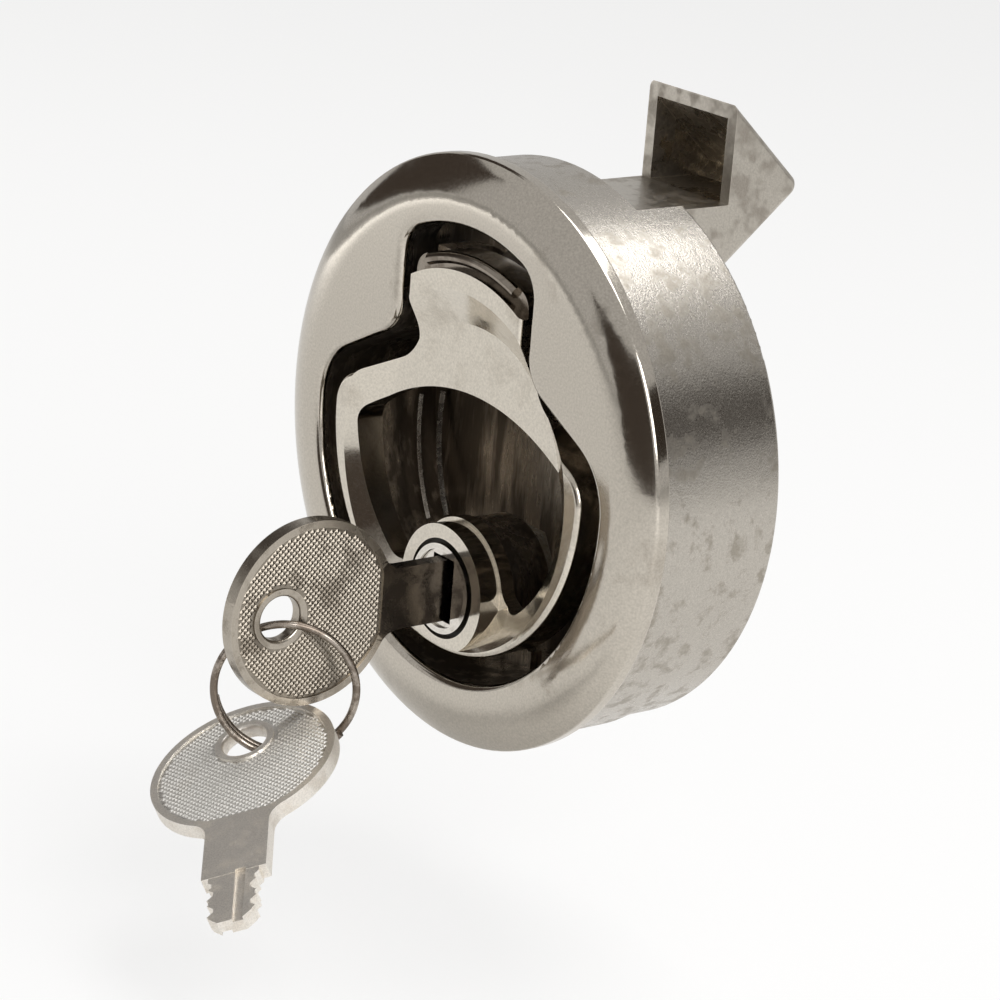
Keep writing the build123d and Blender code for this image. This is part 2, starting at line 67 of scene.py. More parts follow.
class Texture(Enum):
    """How a metal's marks lie: their scale along each axis, where less than 1 draws them out."""

    EVEN = (1.0, 1.0, 1.0)
    TURNED = (0.12, 1.0, 1.0)
    STREAKED = (1.0, 1.0, 0.14)


@dataclass(frozen=True)
class MetalFinish:
    """One metal surface, with the size and strength of its marks in millimetres.

    Attributes:
        name: material name.
        light: colour of the bright patches.
        dark: colour of the stained patches.
        patch: size of the stains.
        grain: size of the fine grain.
        smooth: roughness of the bright patches.
        rough: roughness of the stained patches.
        relief: height of the grain.
        stain: how much of the surface is stained, from 0 to 1.
        wear: how far sharp edges brighten, from 0 to 1.
        texture: how the stains and the grain lie.
    """

    name: str
    light: Colour
    dark: Colour
    patch: float
    grain: float
    smooth: float
    rough: float
    relief: float
    stain: float = 0.4
    wear: float = 0.3
    texture: Texture = Texture.EVEN

    def edge(self) -> Colour:
        """The colour of its worn edges, brighter than its bright patches."""
        return tuple(min(1.0, EDGE_GAIN * c) for c in self.light)


@dataclass(frozen=True)
class DullFinish:
    """A rubber or plastic surface.

    Attributes:
        name: material name.
        colour: base colour.
        grain: size of the moulded grain in millimetres.
        roughness: mean roughness.
        relief: height of the grain in millimetres.
        spread: how far the grain moves the roughness, up and down.
    """

    name: str
    colour: Colour
    grain: float
    roughness: float
    relief: float
    spread: float = 0.08

    def rubbed(self) -> Colour:
        """The colour of its high grains, which is paler and never quite black."""
        return tuple(1.7 * c + 0.004 for c in self.colour)


POLISHED_FLANGE = MetalFinish("polished_flange", (0.54, 0.5, 0.44), (0.45, 0.41, 0.355), 7.0, 0.3,
                              0.12, 0.22, 0.004, stain=0.25, wear=0.5)
POLISHED_HANDLE = MetalFinish("polished_handle", (0.66, 0.615, 0.54), (0.57, 0.525, 0.455), 5.0, 0.3,
                              0.11, 0.22, 0.004, stain=0.35, wear=0.5)
SATIN_BODY = MetalFinish("satin_body", (0.48, 0.45, 0.405), (0.35, 0.32, 0.275), 2.3, 0.24,
                         0.26, 0.38, 0.04, stain=0.38, wear=0.4)
# Painted shade: a much darker copy of the cast metal for the cup's inside and the handle's back, standing in
# for the shade and dark reflections in the recess; its patches are drawn out up and down.
RECESS_PAINTED_SHADE = MetalFinish("recess_painted_shade", (0.44, 0.39, 0.33), (0.15, 0.125, 0.1), 2.6, 0.4,
                       0.26, 0.38, 0.015, stain=0.55, wear=0.2, texture=Texture.STREAKED)
ROUGH_WALL = MetalFinish("rough_wall", (0.36, 0.325, 0.28), (0.17, 0.14, 0.11), 1.1, 0.45,
                         0.26, 0.42, 0.035, stain=0.5, wear=0.3)
# Painted reflection: the rolled lip on the tongue's top is darkened to stand in for the dark surroundings
# that its curve mirrors.
LIP_PAINTED_REFLECTION = MetalFinish("lip_painted_reflection", (0.30, 0.265, 0.225), (0.19, 0.16, 0.13), 1.6, 0.25,
                       0.12, 0.24, 0.006, stain=0.4, wear=0.2)
CAST_BOLT = MetalFinish("cast_bolt", (0.53, 0.495, 0.44), (0.39, 0.355, 0.31), 2.4, 0.3,
                        0.30, 0.45, 0.035, stain=0.45, wear=0.6)
# Painted light and shade: a copy of the cast bolt metal, brighter in its bright patches and darker in its
# stains, kept for the wedge head's hollow to stand in for how light falls inside it.
HOLLOW_PAINTED_SHADING = MetalFinish("hollow_painted_shading", (0.62, 0.57, 0.49), (0.33, 0.29, 0.24), 2.2, 0.4,
                          0.20, 0.40, 0.05, stain=0.5, wear=0.7)
LOCK_CHROME = MetalFinish("lock_chrome", (0.74, 0.71, 0.66), (0.55, 0.51, 0.46), 1.6, 0.2,
                          0.08, 0.2, 0.004, stain=0.35, wear=0.5)
# Painted shade: near-black metal for the keyway's walls, standing in for the shade deep in the slot.
KEYWAY_PAINTED_SHADE = MetalFinish("keyway_painted_shade", (0.13, 0.10, 0.08), (0.04, 0.032, 0.026), 1.2, 0.25,
                          0.2, 0.4, 0.01, stain=0.5, wear=0.1)
KEY_NICKEL = MetalFinish("key_nickel", (0.74, 0.7, 0.64), (0.62, 0.58, 0.515), 2.6, 0.2,
                         0.24, 0.36, 0.006, stain=0.4, wear=0.5)
KNURL_NICKEL = MetalFinish("knurl_nickel", (0.88, 0.86, 0.82), (0.76, 0.735, 0.69), 2.6, 0.2,
                           0.28, 0.38, 0.004, stain=0.35, wear=0.0)
# Painted shade: darker copies of the key nickel and its knurl for the key in the lock, standing in for the
# darker surroundings that its faces mirror.
KNURL_PAINTED_SHADE = MetalFinish("knurl_painted_shade", (0.27, 0.24, 0.20), (0.19, 0.165, 0.135), 2.6, 0.2,
                              0.30, 0.40, 0.004, stain=0.35, wear=0.0)
KEY_PAINTED_SHADE = MetalFinish("key_painted_shade", (0.42, 0.38, 0.325), (0.30, 0.265, 0.22), 2.6, 0.2,
                            0.22, 0.34, 0.006, stain=0.4, wear=0.4)
KEY_WORN = MetalFinish("key_worn", (0.86, 0.82, 0.76), (0.76, 0.71, 0.64), 2.6, 0.2,
                       0.42, 0.52, 0.006, stain=0.35, wear=0.3)
# Painted highlight: a bright copy of the cast metal for the thin ribs in the cup, standing in for the bright
# highlight lines along the cup's left wall.
RIB_PAINTED_HIGHLIGHT = MetalFinish("rib_painted_highlight", (0.66, 0.61, 0.54), (0.40, 0.355, 0.30), 1.2, 0.3,
                       0.22, 0.34, 0.01, stain=0.4, wear=0.6)
# Painted shade: a near-black copy of the key nickel for the shank of the key in the lock.
SHANK_PAINTED_SHADE = MetalFinish("shank_painted_shade", (0.13, 0.11, 0.09), (0.055, 0.045, 0.037), 3.0, 0.25,
                         0.18, 0.32, 0.006, stain=0.45, wear=0.2)
RING_WIRE = MetalFinish("ring_wire", (0.40, 0.355, 0.31), (0.20, 0.165, 0.135), 1.5, 0.15,
                        0.22, 0.36, 0.006, stain=0.5, wear=0.0)
SPRING_WIRE = MetalFinish("spring_wire", (0.50, 0.48, 0.45), (0.30, 0.28, 0.25), 1.2, 0.12,
                          0.2, 0.34, 0.005, stain=0.4, wear=0.0)
TURNED_PIN = MetalFinish("turned_pin", (0.62, 0.60, 0.57), (0.44, 0.42, 0.39), 2.0, 0.12,
                         0.16, 0.28, 0.006, stain=0.3, wear=0.3, texture=Texture.TURNED)
ZINC_PLATE = MetalFinish("zinc_plate", (0.62, 0.62, 0.60), (0.48, 0.46, 0.40), 2.4, 0.25,
                         0.28, 0.42, 0.008, stain=0.4, wear=0.4)
BUSH_BRONZE = MetalFinish("bush_bronze", (0.56, 0.37, 0.17), (0.36, 0.21, 0.09), 1.4, 0.2,
                          0.3, 0.45, 0.01, stain=0.4, wear=0.2)
WAFER_BRASS = MetalFinish("wafer_brass", (0.72, 0.54, 0.24), (0.50, 0.34, 0.13), 1.5, 0.2,
                          0.25, 0.38, 0.006, stain=0.3, wear=0.3)
SEAL_RUBBER = DullFinish("seal_rubber", (0.016, 0.015, 0.014), 0.25, 0.5, 0.01)
STOP_RUBBER = DullFinish("stop_rubber", (0.022, 0.021, 0.020), 0.3, 0.7, 0.02)
WASHER_PLASTIC = DullFinish("washer_plastic", (0.05, 0.05, 0.05), 0.4, 0.45, 0.006)


class NodeBench:
    """Lays out nodes in one shader tree, so that a recipe reads from top to bottom."""

    def __init__(self, tree: bpy.types.NodeTree) -> None:
        """Keeps the tree that the nodes go into."""
        self.tree = tree

    def node(self, kind: str, inputs: dict | None = None, **settings: object) -> bpy.types.Node:
        """Adds one node.

        Args:
            kind: Blender's name of the node type.
            inputs: value or output socket for each input, by name or number.
            **settings: properties of the node.

        Returns:
            The node.
        """
        made = self.tree.nodes.new(kind)
        made.location = (180 * (len(self.tree.nodes) % 9), -220 * (len(self.tree.nodes) // 9))
        for name, value in settings.items():
            setattr(made, name, value)
        for key, value in (inputs or {}).items():
            socket = made.inputs[key]
            if isinstance(value, bpy.types.NodeSocket):
                self.tree.links.new(value, socket)
            else:
                socket.default_value = value
        return made

    def math(self, operation: str, first: object, second: object = 0.0) -> bpy.types.NodeSocket:
        """Adds a Math node.

        Args:
            operation: what it does, by Blender's name.
            first: value or socket.
            second: value or socket.

        Returns:
            Its result.
        """
        return self.node("ShaderNodeMath", {0: first, 1: second}, operation=operation).outputs[0]

    def span(self, value: object, low: float, high: float, to_low: object = 0.0,
             to_high: object = 1.0) -> bpy.types.NodeSocket:
        """Adds a clamped Map Range node.

        Args:
            value: value or socket that is mapped.
            low: input that gives to_low.
            high: input that gives to_high.
            to_low: result at low.
            to_high: result at high.

        Returns:
            Its result.
        """
        return self.node("ShaderNodeMapRange", {0: value, 1: low, 2: high, 3: to_low, 4: to_high},
                         clamp=True).outputs[0]

    def blend(self, share: object, first: object, second: object) -> bpy.types.NodeSocket:
        """Adds a Mix node for colours.

        Args:
            share: how much of the second colour shows.
            first: colour or socket.
            second: colour or socket.

        Returns:
            The mixed colour.
        """
        mix = self.node("ShaderNodeMix", data_type="RGBA")
        for number, value in ((0, share), (6, first), (7, second)):
            if isinstance(value, bpy.types.NodeSocket):
                self.tree.links.new(value, mix.inputs[number])
            else:
                mix.inputs[number].default_value = value
        return mix.outputs[2]

    def noise(self, coordinates: object, scale: object, detail: float = 3.0,
              roughness: float = 0.55) -> bpy.types.NodeSocket:
        """Adds a Noise Texture node.

        Args:
            coordinates: where the noise is read.
            scale: features to the metre.
            detail: octaves.
            roughness: share of each finer octave.

        Returns:
            The noise, from 0 to 1.
        """
        return self.node("ShaderNodeTexNoise", {"Vector": coordinates, "Scale": scale, "Detail": detail,
                                                "Roughness": roughness}).outputs[0]


def rgba(colour: Colour) -> tuple[float, float, float, float]:
    """The colour with a full alpha."""
    return (*colour, 1.0)


class SkinGroups:
    """The shader node groups that several metals share.

    Attributes:
        broad_scale: scale of the broad stains, as a share of the patch scale.
        fine_share: share of the fine stains in the mix of both.
        clean_level: where the mix is cut on a metal without stains.
        stain_reach: how far that level falls on a metal that is stained all over.
        stain_edge: the ramp round the level, which gives a stain its crisp edge.
        fleck: how the colour is scaled where the grain is low and high.
        grain_rough: how far the grain moves the roughness.
        patch_height: height of the stains, where the grain's is 1.
        edge_turn: cosines of the turn at which an edge starts to show and is full.
    """

    broad_scale = 0.28
    fine_share = 0.65
    clean_level = 0.72
    stain_reach = 0.45
    stain_edge = (-0.045, 0.05)
    fleck = (0.86, 1.10)
    grain_rough = 0.08
    patch_height = 1.5
    edge_turn = (0.995, 0.80)

    def __init__(self) -> None:
        """Builds both groups once."""
        self.skin = self._skin()
        self.edge = self._edge()

    @staticmethod
    def _new(name: str, inputs: dict[str, tuple[str, object]],
             outputs: dict[str, str]) -> bpy.types.NodeTree:
        """Makes an empty group with named sockets.

        Args:
            name: group name.
            inputs: socket type and default for each input.
            outputs: socket type for each output.

        Returns:
            The group.
        """
        group = bpy.data.node_groups.new(name, "ShaderNodeTree")
        for label, (kind, value) in inputs.items():
            socket = group.interface.new_socket(name=label, in_out="INPUT", socket_type=kind)
            if value is not None:
                socket.default_value = value
        for label, kind in outputs.items():
            group.interface.new_socket(name=label, in_out="OUTPUT", socket_type=kind)
        return group

    def _skin(self) -> bpy.types.NodeTree:
        """Stained and grained metal: large stains with crisp edges over a fine grain.

        The stain is noise at the patch scale, mixed with broader noise and cut by a narrow
        ramp round the stain's level. The grain is noise at the grain scale.

        Returns:
            The group.
        """
        group = self._new("stained_metal", {
            "Coordinates": ("NodeSocketVector", None),
            "Patch Scale": ("NodeSocketFloat", 200.0),
            "Grain Scale": ("NodeSocketFloat", 3000.0),
            "Stain": ("NodeSocketFloat", 0.4),
            "Light": ("NodeSocketColor", (0.6, 0.6, 0.6, 1.0)),
            "Dark": ("NodeSocketColor", (0.3, 0.3, 0.3, 1.0)),
            "Smooth": ("NodeSocketFloat", 0.15),
            "Rough": ("NodeSocketFloat", 0.3),
        }, {"Color": "NodeSocketColor", "Roughness": "NodeSocketFloat", "Height": "NodeSocketFloat"})
        bench = NodeBench(group)
        given = bench.node("NodeGroupInput").outputs
        where = given["Coordinates"]
        patches = bench.noise(where, given["Patch Scale"], 5.0, 0.62)
        broad = bench.noise(where, bench.math("MULTIPLY", given["Patch Scale"], self.broad_scale), 2.0, 0.5)
        both = bench.math("ADD", bench.math("MULTIPLY", patches, self.fine_share),
                          bench.math("MULTIPLY", broad, 1 - self.fine_share))
        level = bench.math("SUBTRACT", self.clean_level,
                           bench.math("MULTIPLY", given["Stain"], self.stain_reach))
        mask = bench.span(bench.math("SUBTRACT", both, level), *self.stain_edge)
        grain = bench.noise(where, given["Grain Scale"], 2.0, 0.6)
        colour = bench.blend(mask, given["Light"], given["Dark"])
        fleck = bench.span(grain, 0.30, 0.72, *self.fleck)
        tinted = bench.node("ShaderNodeVectorMath", {0: colour}, operation="SCALE")
        group.links.new(fleck, tinted.inputs["Scale"])
        span = bench.math("SUBTRACT", given["Rough"], given["Smooth"])
        rough = bench.math("ADD", given["Smooth"], bench.math("MULTIPLY", span, mask))
        rough = bench.math("ADD", rough, bench.math("MULTIPLY", bench.math("SUBTRACT", grain, 0.5),
                                                    self.grain_rough))
        height = bench.math("ADD", grain, bench.math("MULTIPLY", patches, self.patch_height))
        bench.node("NodeGroupOutput", {"Color": tinted.outputs[0], "Roughness": rough, "Height": height})
        return group

    def _edge(self) -> bpy.types.NodeTree:
        """Mask of the convex and hollow edges: how far a rounded normal turns from the true one.

        Returns:
            The group.
        """
        group = self._new("edge_mask", {"Width": ("NodeSocketFloat", 0.0004)}, {"Mask": "NodeSocketFloat"})
        bench = NodeBench(group)
        given = bench.node("NodeGroupInput").outputs
        rounded = bench.node("ShaderNodeBevel", {"Radius": given["Width"]}, samples=6).outputs[0]
        true = bench.node("ShaderNodeNewGeometry").outputs["Normal"]
        turn = bench.node("ShaderNodeVectorMath", {0: rounded, 1: true},
                          operation="DOT_PRODUCT").outputs["Value"]
        bench.node("NodeGroupOutput", {"Mask": bench.span(turn, *self.edge_turn)})
        return group


def blank_material(name: str) -> tuple[bpy.types.Material, NodeBench]:
    """Makes an empty material.

    Args:
        name: material name.

    Returns:
        The material and the bench that lays out its nodes.
    """
    material = bpy.data.materials.new(name)
    material.use_nodes = True
    material.node_tree.nodes.clear()
    return material, NodeBench(material.node_tree)


class Paintshop:
    """Makes each finish into a material once and hands it out by name."""

    def __init__(self) -> None:
        """Builds the shared groups."""
        self.groups = SkinGroups()
        self.made: dict[str, bpy.types.Material] = {}

    def metal(self, finish: MetalFinish) -> bpy.types.Material:
        """Material of a metal finish.

        Args:
            finish: the surface wanted.

        Returns:
            The material.
        """
        if finish.name in self.made:
            return self.made[finish.name]
        material, bench = blank_material(finish.name)
        where = bench.node("ShaderNodeTexCoord").outputs["Object"]
        if finish.texture is not Texture.EVEN:
            where = bench.node("ShaderNodeMapping", {"Vector": where,
                                                     "Scale": finish.texture.value}).outputs[0]
        skin = bench.node("ShaderNodeGroup", node_tree=self.groups.skin)
        values = {"Patch Scale": 1 / (finish.patch * MM), "Grain Scale": 1 / (finish.grain * MM),
                  "Stain": finish.stain, "Light": rgba(finish.light), "Dark": rgba(finish.dark),
                  "Smooth": finish.smooth, "Rough": finish.rough}
        for name, value in values.items():
            skin.inputs[name].default_value = value
        material.node_tree.links.new(where, skin.inputs["Coordinates"])
        colour = skin.outputs["Color"]
        rough = skin.outputs["Roughness"]
        if finish.wear > 0:
            edge = bench.node("ShaderNodeGroup", {"Width": EDGE_WIDTH * MM},
                              node_tree=self.groups.edge).outputs["Mask"]
            share = bench.math("MULTIPLY", edge, finish.wear)
            colour = bench.blend(share, colour, rgba(finish.edge()))
        bump = bench.node("ShaderNodeBump", {"Strength": BUMP_STRENGTH, "Distance": finish.relief * MM,
                                             "Height": skin.outputs["Height"]}).outputs[0]
        shader = bench.node("ShaderNodeBsdfPrincipled", {"Base Color": colour, "Metallic": 1.0,
                                                         "Roughness": rough, "Normal": bump})
        bench.node("ShaderNodeOutputMaterial", {"Surface": shader.outputs[0]})
        self.made[finish.name] = material
        return material

    def dull(self, finish: DullFinish) -> bpy.types.Material:
        """Material of a rubber or plastic finish.

        Args:
            finish: the surface wanted.

        Returns:
            The material.
        """
        if finish.name in self.made:
            return self.made[finish.name]
        material, bench = blank_material(finish.name)
        where = bench.node("ShaderNodeTexCoord").outputs["Object"]
        grain = bench.noise(where, 1 / (finish.grain * MM), 3.0)
        colour = bench.blend(bench.span(grain, 0.35, 0.7), rgba(finish.colour), rgba(finish.rubbed()))
        rough = bench.span(grain, 0.3, 0.7, finish.roughness - finish.spread,
                           finish.roughness + finish.spread)
        bump = bench.node("ShaderNodeBump", {"Strength": BUMP_STRENGTH, "Distance": finish.relief * MM,
                                             "Height": grain}).outputs[0]
        shader = bench.node("ShaderNodeBsdfPrincipled", {"Base Color": colour, "Roughness": rough,
                                                         "Normal": bump})
        bench.node("ShaderNodeOutputMaterial", {"Surface": shader.outputs[0]})
        self.made[finish.name] = material
        return material


class FaceMap:
    """Middle and normal of each face of a mesh, in millimetres, for sharing out materials."""

    def __init__(self, mesh: bpy.types.Mesh) -> None:
        """Reads the mesh's faces into arrays."""
        count = len(mesh.polygons)
        centre = np.empty(3 * count)
        normal = np.empty(3 * count)
        mesh.polygons.foreach_get("center", centre)
        mesh.polygons.foreach_get("normal", normal)
        self.x, self.y, self.z = (centre.reshape(-1, 3) / MM).T
        self.nx, self.ny, self.nz = normal.reshape(-1, 3).T
        self.radius = np.hypot(self.x, self.z)

    def middles(self) -> np.ndarray:
        """Middle of each face, one to a row."""
        return np.stack([self.x, self.y, self.z], axis=1)

    def normals(self) -> np.ndarray:
        """Normal of each face, one to a row."""
        return np.stack([self.nx, self.ny, self.nz], axis=1)


def dressed_copy(node: str, body: str | None, sharp: float = 30.0) -> bpy.types.Object:
    """A merged and smoothly shaded copy of a CAD node, which it stands for.

    The node's own corner normals no longer fit once its points are merged, so they are
    left out and worked out again, with large faces weighing most.

    Args:
        node: the CAD node.
        body: the body that it rides on, or None to leave it on no body.
        sharp: angle in degrees past which an edge stays sharp.

    Returns:
        The new piece.
    """
    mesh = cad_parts[node].data.copy()
    work = bmesh.new()
    work.from_mesh(mesh)
    bmesh.ops.remove_doubles(work, verts=work.verts, dist=MERGE_GAP)
    work.to_mesh(mesh)
    work.free()
    stale = mesh.attributes.get("custom_normal")
    if stale is not None:
        mesh.attributes.remove(stale)
    mesh.shade_smooth()
    mesh.set_sharp_from_angle(angle=math.radians(sharp))
    mesh.materials.clear()
    piece = bpy.data.objects.new(f"{node}_dressed", mesh)
    bpy.context.scene.collection.objects.link(piece)
    weighted = piece.modifiers.new("weighted_normals", "WEIGHTED_NORMAL")
    weighted.keep_sharp = True
    if body is not None:
        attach(piece, body)
    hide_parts(node)
    return piece


def share_out(piece: bpy.types.Object, materials: list[bpy.types.Material], index: np.ndarray) -> None:
    """Gives each face of a piece its material.

    Args:
        piece: the mesh object.
        materials: the materials, in the order of the index.
        index: number of the material for each face.
    """
    for material in materials:
        piece.data.materials.append(material)
    piece.data.polygons.foreach_set("material_index", index.astype(np.int32))
    piece.data.update()


def new_piece(name: str, points: np.ndarray, faces: np.ndarray | list[list[int]], body: str,
              material: bpy.types.Material) -> bpy.types.Object:
    """Makes a piece from arrays of points and faces.

    Args:
        name: piece name.
        points: one row to a point, in metres.
        faces: point numbers of each face.
        body: the body that it rides on.
        material: its material.

    Returns:
        The piece.
    """
    mesh = bpy.data.meshes.new(name)
    mesh.from_pydata(points, [], faces)
    mesh.validate()
    mesh.update()
    mesh.materials.append(material)
    piece = bpy.data.objects.new(name, mesh)
    bpy.context.scene.collection.objects.link(piece)
    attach(piece, body)
    return piece


@dataclass
class Housing:
    """Cast cup with its polished flange, satin body and an inside darkened with painted shade.

    Attributes:
        cup_radius: radius inside which everything behind the seat is the cup.
        mouth_depth: how far the polish runs into the aperture, measured from the seat.
        cup_rear: depth past which no face belongs to the cup.
        seat: depth ahead of which a face belongs to the flange.
        wall_radius: radius of the cup's round wall.
        rib_arc: where the ribs start and end, in degrees below the latch's middle.
        rib_points: number of points along a rib.
        rib_sunk: how far a rib's feet go into the wall.
        pivot: the pin's axis, as a depth and a height; not used.
        coil: left and right end of the bolt spring's coil; not used.
    """

    paint: Paintshop
    cup_radius: float = 31.5
    mouth_depth: float = -2.6
    cup_rear: float = 15.6
    seat: float = 0.02
    wall_radius: float = 26.9
    rib_arc: tuple[float, float] = (2.0, 38.0)
    rib_points: int = 25
    rib_sunk: float = 0.2
    pivot: tuple[float, float] = (5.5, 20.0)
    coil: tuple[float, float] = (-7.4, -5.2)

    def rib(self, name: str, high_depth: float, low_depth: float, height: float) -> None:
        """Lays a thin rib on the left wall of the cup, in a bright finish that paints a highlight line.

        The rib is a wedge of three lines along an arc of the wall: two feet a little inside
        the wall and a crest between them that stands off it. Its depth changes evenly from
        its upper end to its lower one.

        Args:
            name: piece name.
            high_depth: depth of its upper end.
            low_depth: depth of its lower end.
            height: how far its crest stands off the wall.
        """
        count = self.rib_points
        angle = np.radians(np.linspace(*self.rib_arc, count))
        depth = np.linspace(high_depth, low_depth, count)
        foot, crest = self.wall_radius + self.rib_sunk, self.wall_radius - height
        lines = [np.stack([-radius * np.cos(angle), depth + shift, -radius * np.sin(angle)], axis=1)
                 for shift, radius in ((-height, foot), (0.0, crest), (height, foot))]
        step = np.arange(count - 1)
        starts = np.array([0, count, 2 * count])
        sides = [np.stack([a + step, a + step + 1, b + step + 1, b + step], axis=1)
                 for a, b in zip(starts, np.roll(starts, -1))]
        ends = [starts.tolist(), (starts[::-1] + count - 1).tolist()]
        new_piece(name, np.concatenate(lines) * MM, np.concatenate(sides).tolist() + ends,
                  "housing", self.paint.metal(RIB_PAINTED_HIGHLIGHT))

    def twisting_spring(self) -> None:
        """Dresses the bolt's spring, whose coil twists from the handle's side to the bolt's."""
        spring = dressed_copy("bolt_spring", None)
        spring.data.materials.append(self.paint.metal(SPRING_WIRE))
        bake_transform(spring)

    def build(self) -> int:
        """Dresses the casting and what the pivot pin carries.

        Returns:
            How many pieces were made.
        """
        piece = dressed_copy("housing", "housing")
        faces = FaceMap(piece.data)
        # The cup's inside takes the painted-shade metal.
        inside = (faces.radius < self.cup_radius) & (faces.y > self.mouth_depth) & (faces.y < self.cup_rear)
        flange = (faces.y < self.seat) & ~inside
        index = np.where(inside, 2, np.where(flange, 0, 1))
        share_out(piece, [self.paint.metal(POLISHED_FLANGE), self.paint.metal(SATIN_BODY),
                          self.paint.metal(RECESS_PAINTED_SHADE)], index)
        made = 1
        for node, slot, material in (
                ("pivot_pin", "pin_steel", self.paint.metal(TURNED_PIN)),
                ("pin_clip", "spring_steel", self.paint.metal(SPRING_WIRE)),
                ("hinge_washers", "washer_plastic", self.paint.dull(WASHER_PLASTIC)),
                ("handle_spring", "spring_steel", self.paint.metal(SPRING_WIRE)),
                ("rubber_stops", "stop_rubber", self.paint.dull(STOP_RUBBER))):
            small = dressed_copy(node, "housing")
            small.data.materials.append(material)
            made += 1
        self.twisting_spring()
        self.rib("cup_rib_rear", high_depth=14.7, low_depth=12.5, height=0.4)
        self.rib("cup_rib_front", high_depth=11.1, low_depth=9.5, height=0.3)
        return made + 3


@dataclass
class PullHandle:
    """Handle casting: polished face, rough tongue walls, a back darkened with painted shade and a rolled lip
    darkened with a painted reflection.

    Attributes:
        face: depth of the front face.
        back: depth of the back.
        neck: height above which the side walls belong to the tongue.
        lip_inner: radius outside which the tongue's top is the rolled lip and its groove, darkened with a
            painted reflection.
        slack: room for faces that lie on the back.
        rounding: depth of the rounding between the face and the walls.
        wall_tilt: most that a wall's normal points to the front or back.
    """

    paint: Paintshop
    face: float = -4.1
    back: float = 0.9
    neck: float = 8.0
    lip_inner: float = 23.65
    slack: float = 0.1
    rounding: float = 0.8
    wall_tilt: float = 0.25

    def build(self) -> int:
        """Dresses the handle.

        Returns:
            How many pieces were made.
        """
        piece = dressed_copy("pull_handle", "handle", 28.0)
        faces = FaceMap(piece.data)
        # The handle's back takes the same painted-shade metal as the cup's inside.
        behind = faces.y > self.back - self.slack
        wall = ((np.abs(faces.ny) < self.wall_tilt) & (faces.y > self.face + self.rounding)
                & (faces.z > self.neck))
        # The lip and its groove take the painted dark reflection.
        lip = (faces.radius > self.lip_inner) & (faces.z > self.neck) & ~behind
        index = np.where(behind, 2, np.where(lip, 3, np.where(wall, 1, 0)))
        share_out(piece, [self.paint.metal(POLISHED_HANDLE), self.paint.metal(ROUGH_WALL),
                          self.paint.metal(RECESS_PAINTED_SHADE), self.paint.metal(LIP_PAINTED_REFLECTION)], index)
        return 1


@dataclass
class LatchBolt:
    """Sprung bolt with its hollow wedge head.

    Attributes:
        mouth_y: depth of the open front of the head.
        inner_half_width: half the width of the hollow.
        shelf_z: height of the hollow's floor.
        roof_z: height of the hollow's roof, and a little.
        slack: room for faces that lie on the hollow's walls.
        front_tilt: most that a face of the hollow points to the rear.
    """

    paint: Paintshop
    mouth_y: float = 30.6
    inner_half_width: float = 7.0
    shelf_z: float = 31.7
    roof_z: float = 42.7
    slack: float = 0.05
    front_tilt: float = 0.1

    def build(self) -> int:
        """Dresses the bolt and its bush.

        Returns:
            How many pieces were made.
        """
        piece = dressed_copy("latch_bolt", "bolt", 28.0)
        faces = FaceMap(piece.data)
        # Faces of the head's hollow take the painted light and shade.
        hollow = ((faces.y > self.mouth_y + self.slack)
                  & (np.abs(faces.x) < self.inner_half_width + self.slack)
                  & (faces.z > self.shelf_z - self.slack) & (faces.z < self.roof_z)
                  & (faces.ny < self.front_tilt))
        share_out(piece, [self.paint.metal(CAST_BOLT), self.paint.metal(HOLLOW_PAINTED_SHADING)],
                  np.where(hollow, 1, 0))
        bush = dressed_copy("bolt_bush", "bolt")
        bush.data.materials.append(self.paint.metal(BUSH_BRONZE))
        return 2


@dataclass
class KeyLock:
    """Wafer lock: shell, seal, nut, plug, wafers and cam.

    Attributes:
        mouth_y: depth past which the keyway's walls take painted shade.
        rear_y: depth of the keyway's end.
        axis_z: height of the lock's axis.
        rim_radius: radius of the plug's plain rim.
    """

    paint: Paintshop
    mouth_y: float = -3.8
    rear_y: float = 9.0
    axis_z: float = -17.7
    rim_radius: float = 5.0

    def build(self) -> int:
        """Dresses the lock.

        Returns:
            How many pieces were made.
        """
        plug = dressed_copy("lock_plug", "plug")
        faces = FaceMap(plug.data)
        off_axis = np.hypot(faces.x, faces.z - self.axis_z)
        # The keyway's walls take the painted shade.
        keyway = (faces.y > self.mouth_y) & (off_axis < self.rim_radius) & (faces.y < self.rear_y)
        share_out(plug, [self.paint.metal(LOCK_CHROME), self.paint.metal(KEYWAY_PAINTED_SHADE)],
                  np.where(keyway, 1, 0))
        made = 1
        for node, body, slot, material in (
                ("lock_shell", "handle", "lock_chrome", self.paint.metal(LOCK_CHROME)),
                ("lock_seal", "handle", "lock_rubber", self.paint.dull(SEAL_RUBBER)),
                ("lock_nut", "handle", "nut_steel", self.paint.metal(ZINC_PLATE)),
                ("wafers", "plug", "wafer_brass", self.paint.metal(WAFER_BRASS)),
                ("lock_cam", "plug", "cam_steel", self.paint.metal(ZINC_PLATE)),
                ("cam_screw", "plug", "nut_steel", self.paint.metal(ZINC_PLATE))):
            small = dressed_copy(node, body)
            small.data.materials.append(material)
            made += 1
        return made


